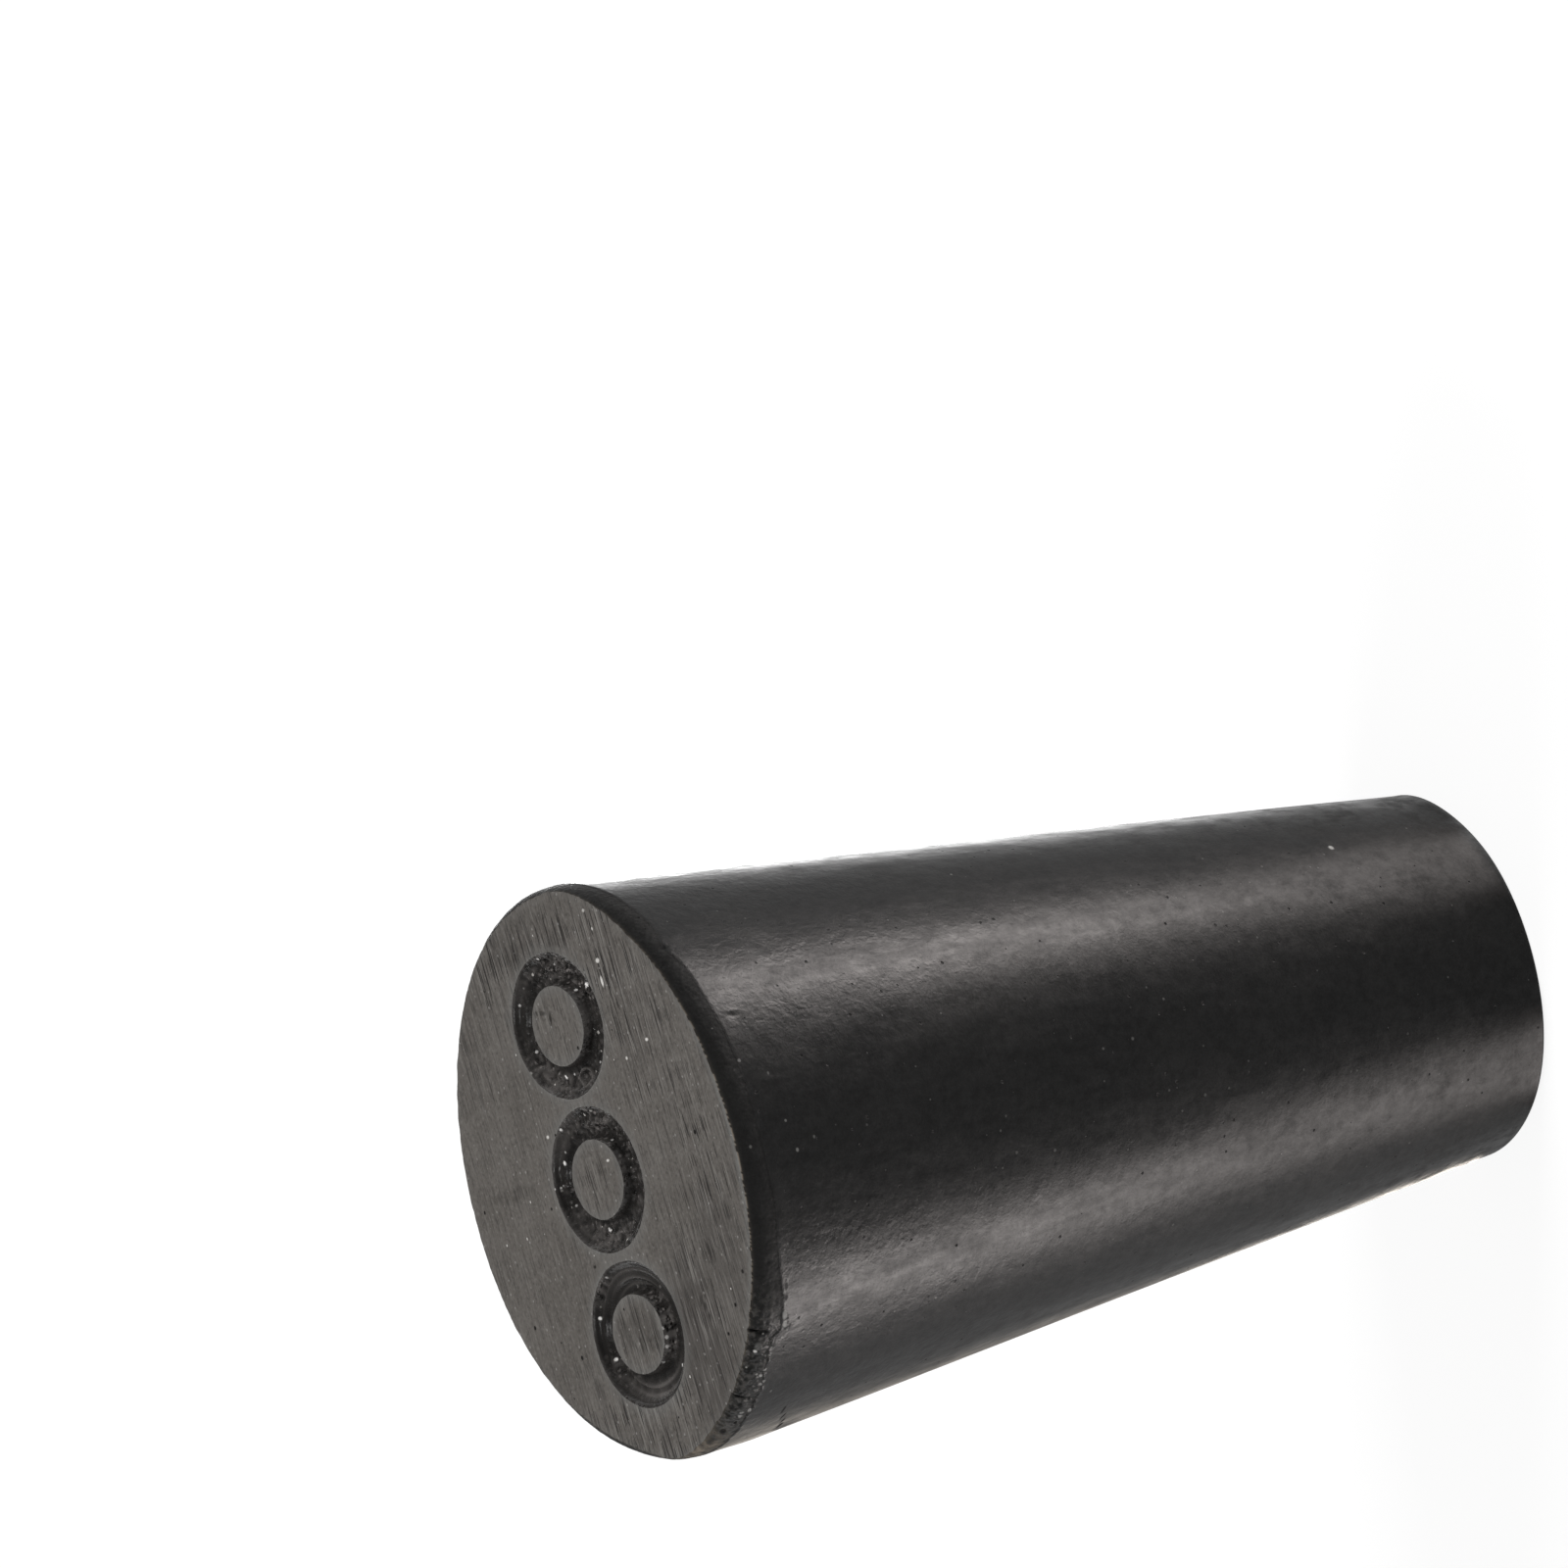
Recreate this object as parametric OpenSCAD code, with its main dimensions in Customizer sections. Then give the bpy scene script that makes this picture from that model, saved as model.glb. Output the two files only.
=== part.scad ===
// Solid rubber stopper for a small glass neck.
//
// One moulded piece: a tapered round plug with flat ends. The large end is
// ground flat and has its size number pressed into it, three zeros in a row.
// The origin is the centre of the small end, and +Z points to the large end,
// so the plug stands as it does in a neck.

/* [Plug] */
// Diameter of the large end at its widest
large_diameter = 12.7; // [11.8:0.1:16]
// Diameter of the small end
small_diameter = 8.1; // [6:0.1:10]
// Length from end face to end face
plug_length = 21.3; // [14:0.1:30]
// Bevel round the edge of the large end
large_bevel = 0.27; // [0.1:0.01:0.4]
// Bevel round the edge of the small end
small_bevel = 0.1; // [0.04:0.01:0.3]

/* [Size number] */
// How many zeros stand in the row
zero_count = 3; // [1:1:3]
// Distance from one zero to the next
zero_pitch = 3.4; // [3.35:0.05:3.8]
// Height of a zero, across the row
zero_height = 4.0; // [3.4:0.05:4.6]
// Width of a zero, along the row
zero_width = 3.2; // [2.4:0.05:3.3]
// Height of the flat left standing inside a zero
island_height = 2.3; // [1.9:0.05:2.6]
// Width of the flat left standing inside a zero
island_width = 1.75; // [1.2:0.05:1.85]
// How deep the zeros are pressed in
zero_depth = 0.25; // [0.1:0.01:1]
// How far the row lies from the middle of the face, in +Y
row_offset = 0.28; // [-0.5:0.02:0.5]

/* [Hidden] */
$fn = 160;
large_radius = large_diameter / 2;
small_radius = small_diameter / 2;
// The side is straight from the small end to the foot of the large bevel
bevel_foot = plug_length - large_bevel;
side_slope = (large_radius - small_radius) / bevel_foot;
// Radius of an oval's two tight ends, as a share of half its narrow width
end_share = 0.86;
// Cuts run this far past a face, so that no skin is left over them
overcut = 0.5;
// Black rubber
plug_colour = [0.14, 0.135, 0.13];

// Half of the section through the axis, turned round it
module plug() {
    rotate_extrude()
        polygon([
            [0, 0],
            [small_radius - small_bevel, 0],
            [small_radius + side_slope * small_bevel, small_bevel],
            [large_radius, bevel_foot],
            [large_radius - large_bevel, plug_length],
            [0, plug_length]
        ]);
}

// Flat oval of four arcs: two tight ends at +Y and -Y, two wide flanks at
// +X and -X. Each end meets its flanks at a tangent.
module oval(height, width) {
    half_height = height / 2;
    half_width = width / 2;
    end_radius = end_share * half_width;
    end_y = half_height - end_radius;
    flank_radius = (pow(end_y, 2) + pow(half_width, 2) - pow(end_radius, 2))
        / (2 * (half_width - end_radius));
    // The arcs meet where the line through both centres leaves the end circle
    meet_y = end_y * flank_radius / (flank_radius - end_radius);
    for (side = [-1, 1])
        translate([0, side * end_y])
            circle(r = end_radius);
    intersection() {
        translate([half_width - flank_radius, 0])
            circle(r = flank_radius);
        translate([flank_radius - half_width, 0])
            circle(r = flank_radius);
        square([width, 2 * meet_y], center = true);
    }
}

// One zero as a solid ring, ready to be cut from the face
module zero_cut() {
    linear_extrude(zero_depth + overcut)
        difference() {
            oval(zero_height, zero_width);
            oval(island_height, island_width);
        }
}

// The zeros side by side along X, the row centred on the axis
module size_number_cut() {
    for (i = [0 : zero_count - 1])
        translate([
            (i - (zero_count - 1) / 2) * zero_pitch,
            row_offset,
            plug_length - zero_depth
        ])
            zero_cut();
}

module stopper() {
    color(plug_colour)
        difference() {
            plug();
            size_number_cut();
        }
}

stopper();
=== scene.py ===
# %% [markdown]
# # A small rubber stopper, from bare mesh to finished picture
# The real object is one piece of black moulded rubber. It tapers, so that it
# wedges into a glass neck, and its large end carries its size number, three
# zeros. This lesson builds its skin a second time in Blender, finer than the
# engineering solid, and gives each kind of surface on it a finish of its own.
#
# The first cell loads the solid. The picture must keep to its place and its
# size, so everything below is measured from it.

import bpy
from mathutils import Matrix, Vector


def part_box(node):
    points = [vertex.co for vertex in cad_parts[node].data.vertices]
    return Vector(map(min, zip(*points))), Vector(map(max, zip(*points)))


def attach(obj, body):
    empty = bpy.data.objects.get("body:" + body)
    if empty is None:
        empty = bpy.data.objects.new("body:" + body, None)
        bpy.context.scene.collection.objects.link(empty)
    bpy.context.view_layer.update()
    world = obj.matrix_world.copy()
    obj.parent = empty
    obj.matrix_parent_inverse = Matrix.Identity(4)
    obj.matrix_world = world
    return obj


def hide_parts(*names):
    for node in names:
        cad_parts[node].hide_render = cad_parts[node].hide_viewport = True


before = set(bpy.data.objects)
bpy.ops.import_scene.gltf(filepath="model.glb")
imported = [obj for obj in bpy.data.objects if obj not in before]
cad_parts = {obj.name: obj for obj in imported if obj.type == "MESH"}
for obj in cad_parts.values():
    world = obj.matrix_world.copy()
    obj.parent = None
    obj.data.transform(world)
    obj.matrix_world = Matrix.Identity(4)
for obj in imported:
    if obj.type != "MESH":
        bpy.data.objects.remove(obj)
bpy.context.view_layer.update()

# %% Take the sizes from the solid
import math

import bmesh
import bpy
from mathutils import Matrix, Vector, noise
from mathutils.geometry import delaunay_2d_cdt
from mathutils.kdtree import KDTree

MM = 0.001  # Blender works in metres, and this lesson in millimetres

high_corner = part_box("stopper")[1]
plug_length = high_corner.z / MM
large_radius = high_corner.x / MM


def solid_radius(low_z, high_z):
    """Largest radius of the solid's corners between two heights."""
    return max(
        math.hypot(v.co.x, v.co.y) / MM
        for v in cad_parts["stopper"].data.vertices
        if low_z <= v.co.z / MM <= high_z
    )


foot_radius = solid_radius(-0.01, 0.01)
face_radius = solid_radius(plug_length - 0.01, plug_length + 0.01)
LARGE_BEVEL = 0.27   # height of the large end's bevel
FOOT_EDGE = 0.1      # what the edge takes off the small end's radius
FOOT_ROUND = 0.03    # how far up that edge is rounded
print(f"length {plug_length:.2f}, large end {2 * large_radius:.2f} mm")
print(f"small face {2 * foot_radius:.2f}, large face {2 * face_radius:.2f} mm")

# %% [markdown]
# ## Unevenness
# Nothing moulded and ground is perfectly even. A modifier could roughen the
# whole mesh at once, but each region is worn in its own way, so one small noise
# function is added to the shape where it is computed. It has no random state, so
# every run gives the same stopper.

# %% Smooth noise in millimetres
def ripple(x, y, z, size, layer=0.0):
    """Noise from about -1 to 1. Its bumps are `size` mm across."""
    return noise.noise(Vector((x, y, z)) / size + Vector((0, 0, 17.3 * layer)))


def ease(value, start, end):
    """0 before start, 1 after end, and smooth between them."""
    share = min(max((value - start) / (end - start), 0.0), 1.0)
    return share * share * (3 - 2 * share)


def hump(value, middle, reach):
    """1 at the middle, fading to 0 within about twice the reach."""
    return math.exp(-(((value - middle) / reach) ** 2))


print("noise at one spot:", round(ripple(1.2, 0.4, 3.0, 0.5), 4))

# %% [markdown]
# ## The tapered side
# The side was formed by the mould. It is a straight taper up to a faint line,
# where the mould's two halves met. Above that line the skin is rough and torn,
# and the edge turns in towards the ground face. Nicks, slits and small lumps
# were left when the plug was pulled out and trimmed.
#
# A screw modifier would turn a drawn profile into a perfect cone. A grid of
# computed points takes a few more lines, but every point can be pushed in or
# out, which is what the torn band needs.

# %% The shape of the side
COLUMNS = 720    # points round the axis
TORN = -145      # the skin is torn most on this side, in degrees
LINE_Z = 20.81   # height of the mould line
turn_in_from = plug_length - 0.64   # above this height the edge turns in
taper = (large_radius - foot_radius - FOOT_EDGE) / (plug_length - LARGE_BEVEL)

# How far each end is out of round: angle and spread in degrees, and size
RIM_SWELLS = [(-14, 16, 0.17), (141, 18, -0.10), (-178, 12, 0.16)]
DENT = [(163, 21, -0.14)]
FOOT_SWELL = [(-122, 34, 0.115), (-36, 22, -0.08)]

# Each nick: angle in degrees, height, reach round and along, depth. A depth
# below 0 makes a lump.
NICKS = [
    (-131.4, 21.13, 0.045, 0.16, 0.16), (-148.9, 21.10, 0.040, 0.17, 0.13),
    (-134.6, 21.08, 0.20, 0.13, -0.05), (-151.5, 21.08, 0.14, 0.10, -0.03),
    (-128.7, 20.55, 0.08, 0.07, -0.04), (-130.8, 20.46, 0.07, 0.06, -0.04),
    (-127.6, 21.26, 0.06, 0.06, 0.06), (-155.0, 21.05, 0.08, 0.07, 0.06),
    (-116.0, 21.00, 0.05, 0.05, 0.04), (-47.5, 20.98, 0.08, 0.05, 0.05),
    (-51.0, 21.18, 0.05, 0.05, 0.05), (-157.5, 20.98, 0.07, 0.06, 0.05),
    (-163.5, 19.50, 0.20, 0.08, 0.02), (-168.5, 19.32, 0.20, 0.08, 0.025),
    (-172.5, 19.15, 0.10, 0.08, -0.04), (-66.6, 20.38, 0.030, 0.13, 0.020),
    (-65.8, 20.36, 0.045, 0.17, -0.010), (-80.0, 20.10, 0.05, 0.07, 0.02),
    (38.0, 21.1, 0.05, 0.12, 0.08), (75.0, 20.8, 0.1, 0.1, 0.05),
    (101.0, 21.1, 0.06, 0.12, 0.09),
]


def turn_between(a, b):
    """Signed angle from b to a, the short way round."""
    return math.remainder(a - b, 2 * math.pi)


def lobe(angle, at, spread):
    """1 at this direction in degrees, fading to 0 on both sides."""
    return hump(math.degrees(turn_between(angle, math.radians(at))), 0, spread)


def out_of_round(angle, swells):
    """Sum of the swells and dents at this angle."""
    return sum(size * lobe(angle, at, spread) for at, spread, size in swells)


def mould_line(angle):
    """Height of the line where the mould's halves met. It drops and jumps."""
    turn = -math.degrees(turn_between(angle, 0))
    drop = 0.19 * ease(turn, 108, 128) * (1 - ease(turn, 131, 133.5))
    drop += 0.07 * lobe(angle, -78, 14) + 0.08 * lobe(angle, -104, 10)
    return LINE_Z - drop + 0.14 * lobe(angle, -47, 4)


def polar(radius, angle):
    """x and y at this distance from the axis, in this direction."""
    return radius * math.cos(angle), radius * math.sin(angle)


def straight_radius(z):
    """Radius of the plain taper at this height."""
    return foot_radius + FOOT_EDGE + taper * z


print(f"the side leans out {math.degrees(math.atan(taper)):.1f} degrees")

# %% One point of the side


def side_corner(angle, z):
    """(x, y, z, grit) of the side at this angle and height."""
    radius = straight_radius(z)
    x, y = polar(radius, angle)
    radius += 0.012 * ripple(x, y, 0.4 * z, 2.6)   # long soft waves
    radius += out_of_round(angle, FOOT_SWELL) * (1 - ease(z, 0.0, 3.0))
    radius += out_of_round(angle, DENT) * ease(z, 19.4, 20.8)   # near the large end

    # The mould line wanders, most of all where the skin is torn
    off = math.degrees(turn_between(angle, math.radians(TORN)))
    torn = 0.22 + 0.78 * math.exp(-((off / 24) ** 4))
    line = mould_line(angle) + 0.05 * torn * (ripple(x, y, 0, 0.7) + ripple(x, y, 0, 0.2))
    line += 0.03 * ripple(x, y, 0, 1.1) + 0.015 * ripple(x, y, 0, 0.15)
    grit = ease(z, line - 0.01, line + 0.025)

    # Above it the edge turns in, with granules and a raised lip at the line
    share = max(0.0, (z - turn_in_from) / (plug_length - turn_in_from))
    turn_in = straight_radius(plug_length) - face_radius
    radius -= (turn_in - out_of_round(angle, RIM_SWELLS)) * share**3.5
    coarse, fine = ripple(x, y, z, 0.32, 1), ripple(x, y, z, 0.13, 2)
    radius += grit * (1 - share**6) * (torn * (0.022 * coarse + 0.018 * fine) - 0.02)
    radius += 0.06 * torn**3 * hump(z, line - 0.02, 0.05) * max(0, fine + 0.2)
    radius += 0.022 * share**4 * (ripple(x, y, 0, 0.3, 3) + 0.7 * ripple(x, y, 0, 0.12, 3))

    for degrees, height, wide, tall, deep in NICKS:
        across = turn_between(angle, math.radians(degrees)) * radius / wide
        along = (z - height) / tall
        if abs(across) < 3 and abs(along) < 3:
            radius -= deep * math.exp(-across * across - along * along)
    grit *= 0.3 + 0.7 * torn
    return *polar(radius, angle), z, grit


print("skin at its most torn:", [round(v, 2) for v in side_corner(math.radians(TORN), 21)])

# %% [markdown]
# ## How close the points lie
# The torn band needs many points and the plain skin few. A subdivision modifier
# would add them everywhere, so they are crowded where they are needed.

# %% Heights of the rings, angles of the columns
PLAIN_TO, TORN_FROM = 19.2, 20.3   # heights where the rings get closer


def steps(start, end, count):
    """Evenly spaced values after start, up to and including end."""
    return [start + (end - start) * (i + 1) / count for i in range(count)]


ring_heights = [FOOT_ROUND] + steps(FOOT_ROUND, PLAIN_TO, 26)
ring_heights += steps(PLAIN_TO, TORN_FROM, 10) + steps(TORN_FROM, plug_length, 38)


def column(i):
    """Angle of a column. They crowd together where the skin is torn."""
    even = 2 * math.pi * i / COLUMNS
    return even - 0.45 * math.sin(even - math.radians(TORN))


angles = [column(i) for i in range(COLUMNS)]
print(len(ring_heights), "rings of", COLUMNS, "points")

# %% [markdown]
# ## A list of corners and a list of faces
# A mesh is nothing more than that. One helper lays corners down, the other
# laces two rings of corners together with four-sided faces. Each corner also
# carries two numbers for the materials: `grit`, how torn or coarse the rubber is
# there, and `wear_and_light`, how rubbed or pale. In the grooves and at one
# place on the rim, part of that paleness is painted light. Weight painting could
# give these by hand, but here the same formula shapes the skin and colours it.

# %% Corners and faces
MOULDED, GROUND, PRESSED, FOOT = range(4)   # the four finishes
corners, faces, finishes = [], [], []


def lay(x, y, z, grit=0.0, wear_and_light=0.0):
    """Lays a corner down and gives its number."""
    corners.append((x, y, z, grit, wear_and_light))
    return len(corners) - 1


def lace(lower, upper, finish):
    """Joins two closed rings of corner numbers with four-sided faces."""
    for i, first in enumerate(lower):
        j = (i + 1) % len(lower)
        faces.append((first, lower[j], upper[j], upper[i]))
        finishes.append(finish)


def face_height(x, y):
    """The ground face: flat but for a few thousandths of a millimetre."""
    return plug_length - 0.003 + 0.003 * ripple(x, y, 0, 1.7, 4)


print("the face lies at", round(face_height(0, 0), 4), "mm in the middle")

# %% Lay the side
ROUNDING_RINGS = 5   # in the tight rounding of the small end's edge
rings = []
for k in range(ROUNDING_RINGS):
    a = math.radians(90 * k / ROUNDING_RINGS)
    height = FOOT_ROUND * (1 - math.cos(a))
    ring = []
    for t in angles:
        radius = foot_radius + FOOT_EDGE - FOOT_ROUND * (1 - (1 + taper) * math.sin(a))
        radius += out_of_round(t, FOOT_SWELL)
        ring.append(lay(*polar(radius, t), height, 0.5))
    rings.append(ring)

for height in ring_heights:
    ring = []
    for t in angles:
        x, y, z, grit = side_corner(t, height)
        if height == ring_heights[-1]:
            z = face_height(x, y)
        wear_and_light = 0.08 * ease(height, plug_length - 0.07, plug_length)
        # A brown rubbed place on the rim, broken up by noise. Its paleness is partly
        # real rubbing and partly a painted reflection of the warm table in the rim.
        rubbed_and_reflected = lobe(t, -171, 8) * (0.6 + 0.9 * ripple(x, y, z, 0.16, 10))
        wear_and_light += max(0, rubbed_and_reflected) * ease(height, 20.78, 20.95)
        ring.append(lay(x, y, z, grit, wear_and_light))
    rings.append(ring)
for lower, upper in zip(rings, rings[1:]):
    lace(lower, upper, MOULDED)
rim = [corners[i][:2] for i in rings[-1]]
foot_rim = [corners[i][:2] for i in rings[0]]
print("side:", len(faces), "faces")

# %% [markdown]
# ## The pressed zeros
# The size number was pressed into the soft rubber by raised figures in the
# mould. Each zero is a groove round an oval island, and the island stays level
# with the face. Text cut away with a boolean would leave ragged triangles, so
# each groove is its own grid: round the oval one way, across the groove the
# other way. The grid lets the bottom of the groove keep the grain of the mould.

# %% Outlines of a zero
ZERO_X = [3.4, 0.0, -3.4]      # the row runs along X
ZERO_Y = 0.22                  # and lies a little off the middle
ZERO_SIZE = (3.2, 4.0)         # outer oval, along X and Y
ISLAND_SIZE = (1.74, 2.25)
AROUND, ACROSS = 300, 26       # points round a groove and steps across it


def oval(centre_x, size, wobble):
    """Points round an oval, a little uneven."""
    found = []
    for i in range(AROUND):
        a = 2 * math.pi * i / AROUND
        x = centre_x + size[0] / 2 * math.cos(a)
        y = ZERO_Y + size[1] / 2 * math.sin(a)
        swell = 1 + wobble * ripple(x, y, 0, 0.8, 5) + 0.5 * wobble * ripple(x, y, 0, 0.2, 6)
        found.append((centre_x + (x - centre_x) * swell, ZERO_Y + (y - ZERO_Y) * swell))
    return found


outer_ovals = [oval(x, ZERO_SIZE, 0.012) for x in ZERO_X]
island_ovals = [oval(x, ISLAND_SIZE, 0.02) for x in ZERO_X]
print("zeros at x =", ZERO_X)

# %% [markdown]
# ## Where a groove is coarse and where it is smooth
# The mould was worn, so parts of each groove are full of tiny granules and the
# rest is smooth. One noise for all would make three equal zeros, so each has a
# list of its own places. A place is given by its direction in degrees, its share
# of the way from the outer edge to the island, and how far it spreads both ways.

# %% Coarse places in the grooves, and places of painted light
# For each zero: direction, share, spread in degrees, spread in share, amount
COARSE = [
    [(-20, 0.40, 46, 0.55, 1.0), (-62, 0.45, 12, 0.45, 0.8), (112, 0.50, 20, 0.35, 0.5),
     (160, 0.35, 40, 0.50, 0.5), (-120, 0.50, 40, 0.50, 0.35)],
    [(-22, 0.40, 46, 0.55, 1.0), (-100, 0.50, 40, 0.50, 0.55), (165, 0.45, 40, 0.50, 0.6),
     (95, 0.50, 16, 0.40, 0.25)],
    [(-62, 0.90, 40, 0.14, 1.0), (38, 0.08, 14, 0.15, 0.9), (115, 0.50, 18, 0.35, 0.5),
     (165, 0.40, 40, 0.40, 0.15), (-118, 0.92, 20, 0.12, 0.5)],
]
# Lit places: painted paler where the granular slopes catch the lamps, as painted light
LIT_PLACES = [
    [(-25, 0.40, 40, 0.50, 0.36), (150, 0.20, 34, 0.35, 0.50), (45, 0.10, 20, 0.20, 0.35),
     (-92, 0.99, 20, 0.05, 0.5)],
    [(-15, 0.35, 38, 0.45, 0.30), (155, 0.25, 38, 0.40, 0.42), (42, 0.12, 24, 0.25, 0.45)],
    [(0, 0.35, 40, 0.38, 0.22), (172, 0.35, 38, 0.38, 0.36), (38, 0.05, 14, 0.15, 0.60),
     (-118, 0.98, 16, 0.07, 0.8), (-160, 0.32, 34, 0.05, 0.7), (-165, 0.60, 30, 0.05, 0.6),
     (-100, 0.92, 30, 0.06, 0.4)],
]
# Thin raised lines: direction, share, spread in degrees, height in mm
RIDGES = [
    [(-28, 0.80, 26, 0.030), (160, 0.25, 34, 0.035)],
    [(-10, 0.55, 26, 0.025), (168, 0.50, 30, 0.025), (-160, 0.30, 20, 0.030)],
    [(0, 0.28, 55, 0.035), (-5, 0.52, 50, 0.035), (0, 0.72, 40, 0.030),
     (175, 0.30, 45, 0.045), (170, 0.55, 40, 0.045)],
]


def amount_at(places, angle, share):
    """Sum of the places in this list, at most 1."""
    return min(1.0, sum(
        amount * lobe(angle, at, spread) * hump(share, middle, reach)
        for at, middle, spread, reach, amount in places
    ))


print("coarse at the top of the first zero:", round(amount_at(COARSE[0], 0, 0.4), 2))

# %% [markdown]
# ## The shape of a groove
# A groove drops to a narrow shelf, then to its floor, and climbs steeply to the
# island. Granules and thin raised lines stand on it, and in the first zero a
# bubble burst. Sculpting could do this by hand. Added up as one depth, it can be
# changed number by number.

# %% The depth of a groove
SHELF_DEPTH, ZERO_DEPTH = 0.14, 0.25


def groove_depth(which, share, x, y, angle, coarse):
    """Depth below the face. share runs from 0 outside to 1 at the island."""
    gentle = 0.5 + 0.5 * math.cos(angle + 0.3)   # the slope is long on this side
    shelf = SHELF_DEPTH * ease(share, 0.0, 0.10 + 0.18 * gentle)
    floor = ease(share, 0.16 + 0.34 * gentle, 0.32 + 0.40 * gentle)
    floor *= ZERO_DEPTH - SHELF_DEPTH
    depth = (shelf + floor) * (1 - ease(share, 0.88, 1.0))
    inside = ease(share, 0.05, 0.18) * (1 - ease(share, 0.84, 0.96))
    granules = 0.075 * ripple(x, y, 0, 0.15, 8) + 0.05 * ripple(x, y, 0, 0.085, 9)
    lines = sum(height * lobe(angle, at, spread) * hump(share, middle, 0.035)
                for at, middle, spread, height in RIDGES[which])
    return depth - inside * (coarse * granules + lines)


BLISTER = (2.18, -0.07, 0.19, 0.29)   # x, y and reach along X and Y of a burst bubble


def blister(x, y):
    """How far out in the bubble this is, 1 at its lip, and the height it adds."""
    r = math.hypot((x - BLISTER[0]) / BLISTER[2], (y - BLISTER[1]) / BLISTER[3])
    lip = hump(r, 1, 0.16)
    return lip, 0.07 * lip - 0.08 * math.exp(-((r / 0.75) ** 4))


print("depth half way in:", round(groove_depth(1, 0.5, 0, 1.6, math.pi / 2, 0), 3), "mm")

# %% Lay the grooves
def groove_point(which, i, share):
    """Lays corner i round the groove, this share of the way to the island."""
    outer, island = outer_ovals[which][i], island_ovals[which][i]
    angle = 2 * math.pi * i / AROUND
    x = outer[0] + (island[0] - outer[0]) * share
    y = outer[1] + (island[1] - outer[1]) * share
    z = face_height(x, y)
    coarse = amount_at(COARSE[which], angle, share)
    lit_crest = ripple(x, y, 0, 0.15, 8) + 0.6 * ripple(x, y, 0, 0.085, 9)
    lip, bubble = blister(x, y)
    if 0 < share < 1:
        z += bubble * ease(share, 0, 0.15) - groove_depth(which, share, x, y, angle, coarse)
    # The groove's edges are rubbed a little. The rest is painted light: the lit places, the
    # blister's lip and the tops of the granules and ridges are painted paler, as if lit.
    wear_and_light = 0.4 * max(0.0, 1 - 14 * min(share, 1 - share))
    wear_and_light += amount_at(LIT_PLACES[which], angle, share) + 0.9 * lip + 1.5 * coarse * lit_crest
    for at, middle, spread, height in RIDGES[which]:
        wear_and_light += 13 * height * lobe(angle, at, spread) * hump(share, middle, 0.04)
    return lay(x, y, z, coarse, max(0.0, min(wear_and_light, 1.0)))


groove_rows = []
for which in range(len(ZERO_X)):
    rows = []
    for k in range(ACROSS + 1):
        rows.append([groove_point(which, i, k / ACROSS) for i in range(AROUND)])
    for lower, upper in zip(rows, rows[1:]):
        lace(lower, upper, PRESSED)
    groove_rows.append(rows)
print("after the zeros:", len(faces), "faces")

# %% [markdown]
# ## Scratched and rubbed places
# The large end was ground flat on a belt, which scratched harder in some places
# than in others, and the rim was rubbed pale on one side. Both could be painted
# by hand. A short list of soft spots does it here, and can be changed later.

# %% How hard the belt scratched, and where the rim is rubbed pale
# Each place: x, y, reach along X and Y in mm, amount
SCRATCHED = [
    (4.9, 2.4, 0.9, 1.2, 0.9), (4.5, -2.4, 1.7, 1.2, 1.0), (-3.4, 0.1, 0.9, 0.9, 1.0),
    (0.0, 0.4, 0.9, 0.9, 0.5), (-2.9, -3.2, 1.8, 1.0, 0.8), (-5.4, 0.3, 0.9, 3.0, 1.0),
    (0.2, -4.5, 1.5, 0.5, 0.6), (1.6, -2.9, 1.3, 0.7, 0.45), (2.9, 4.4, 0.9, 0.5, 0.45),
    (5.5, 0.2, 0.5, 2.0, 0.7), (2.9, -4.0, 1.5, 1.1, 0.4), (-0.6, -4.9, 1.8, 0.8, 0.55),
    (3.4, 0.2, 0.8, 0.8, 0.35),
]


def scratched(x, y):
    """How scratched the face is at this place, from 0 to 1."""
    return min(1.0, 0.18 + sum(
        amount * hump(x, at_x, reach_x) * hump(y, at_y, reach_y)
        for at_x, at_y, reach_x, reach_y, amount in SCRATCHED
    ))


def rim_wear(x, y):
    """The rim is rubbed pale on one side only, and every edge a little."""
    if math.hypot(x, y) < face_radius - 0.6:
        return 0.5
    return 0.2 + 0.8 * lobe(math.atan2(y, x), -92, 36)


print("scratched at the middle:", round(scratched(0, 0), 2))

# %% [markdown]
# ## The flat faces
# The ground face is a plain disc with three oval holes, plus three islands.
# Single large polygons would do, but they couldn't follow the belt's slight
# unevenness or carry its scratches. Blender can fill an outline with triangles
# that keep to its edges, and it takes loose points in between as well.

# %% Points inside an outline
def offset_ring(outline, centre, distance):
    """The outline moved outward from its centre, or inward if negative."""
    found = []
    for x, y in outline:
        away = Vector((x - centre[0], y - centre[1]))
        away *= 1 + distance / away.length
        found.append((centre[0] + away.x, centre[1] + away.y))
    return found


def loose_points(reach, spacing):
    """A grid of points, pushed a little out of line."""
    count = int(reach / spacing)
    found = []
    for i in range(-count, count + 1):
        for j in range(-count, count + 1):
            x, y = i * spacing, j * spacing
            found.append((x + 0.3 * spacing * ripple(i, j, 0, 0.37),
                          y + 0.3 * spacing * ripple(i, j, 9, 0.37)))
    return found


print(len(loose_points(1, 0.2)), "loose points in a small square")

# %% Fill an outline with triangles
KEEP_OFF = 0.045      # loose points stay this far from the outlines, in mm
RUBBED_REACH = 0.12   # how far in from an edge the face is rubbed


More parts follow.
